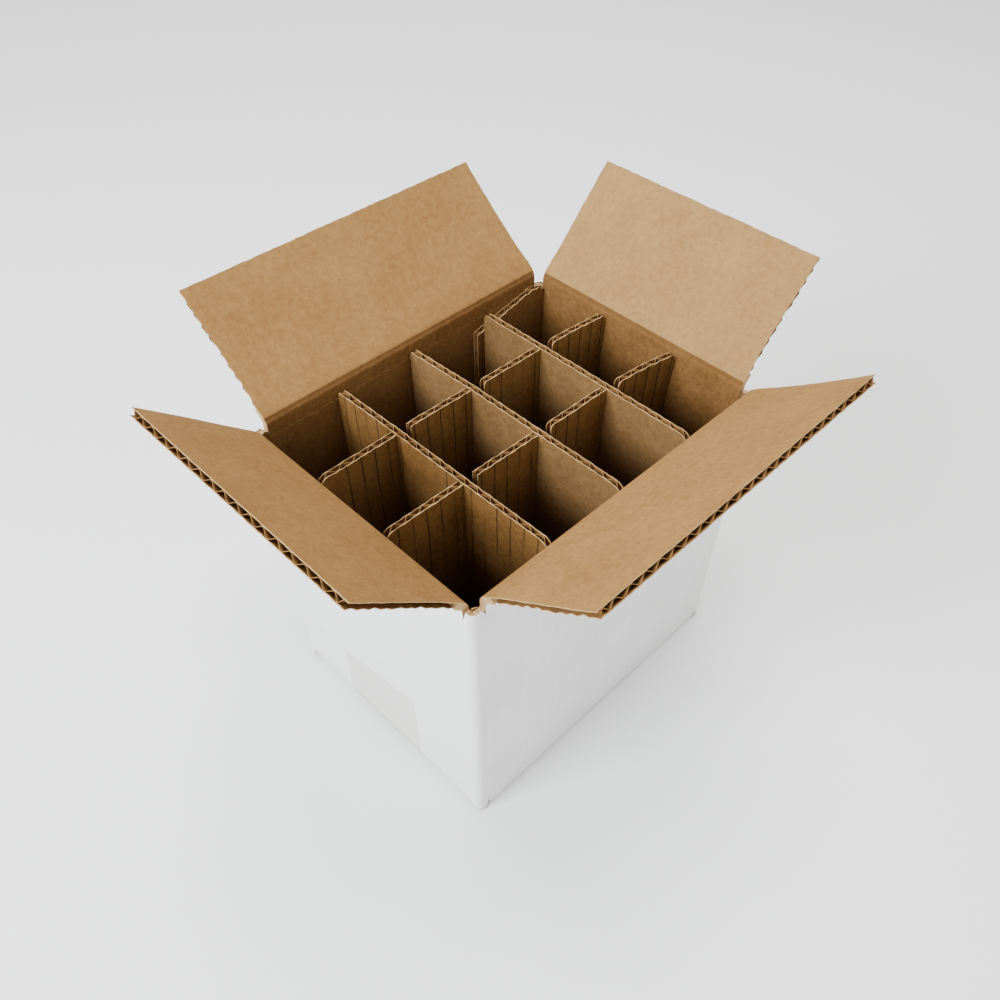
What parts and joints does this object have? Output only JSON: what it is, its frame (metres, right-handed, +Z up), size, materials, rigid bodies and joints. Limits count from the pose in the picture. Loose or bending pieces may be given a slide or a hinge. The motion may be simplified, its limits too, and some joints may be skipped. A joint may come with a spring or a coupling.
{
  "type": "bottle shipping box",
  "caption": "Small corrugated shipping carton, white outside and brown inside, open at the top, with slotted dividers that part it into upright bottle cells.",
  "frame": {"origin": "centre of the box's underside, on the surface that it stands on", "axes": "+Z up, +X along the long side with four cells, +Y along the short side with three cells; the taped end panels face -X and +X"},
  "size_m": [0.2333, 0.2055, 0.1835],
  "materials": {
    "white_lined_board": "matte white paper liner outside, brown kraft liner inside",
    "brown_board": "matte brown kraft",
    "clear_tape": "clear packing tape, slightly yellow"
  },
  "bodies": {
    "root": {"box_body": "white_lined_board", "divider_long_front": "brown_board", "divider_long_back": "brown_board", "divider_short_left": "brown_board", "divider_short_middle": "brown_board", "divider_short_right": "brown_board", "bottom_tape": "clear_tape"},
    "flap_front": {"top_flap_front": "white_lined_board"},
    "flap_back": {"top_flap_back": "white_lined_board"},
    "flap_left": {"top_flap_left": "white_lined_board"},
    "flap_right": {"top_flap_right": "white_lined_board"}
  },
  "joints": [
    {"name": "flap_front_hinge", "type": "hinge", "parent": "root", "child": "flap_front", "pos_m": [0, -0.0586, 0.1458], "axis": [1, 0, 0], "range_deg": [-143.5, 81.5]},
    {"name": "flap_back_hinge", "type": "hinge", "parent": "root", "child": "flap_back", "pos_m": [0, 0.0586, 0.1458], "axis": [-1, 0, 0], "range_deg": [-140.5, 84.5]},
    {"name": "flap_left_hinge", "type": "hinge", "parent": "root", "child": "flap_left", "pos_m": [-0.0766, 0, 0.14315], "axis": [0, -1, 0], "range_deg": [-138, 87]},
    {"name": "flap_right_hinge", "type": "hinge", "parent": "root", "child": "flap_right", "pos_m": [0.0766, 0, 0.14315], "axis": [0, 1, 0], "range_deg": [-133.5, 91.5]}
  ]
}
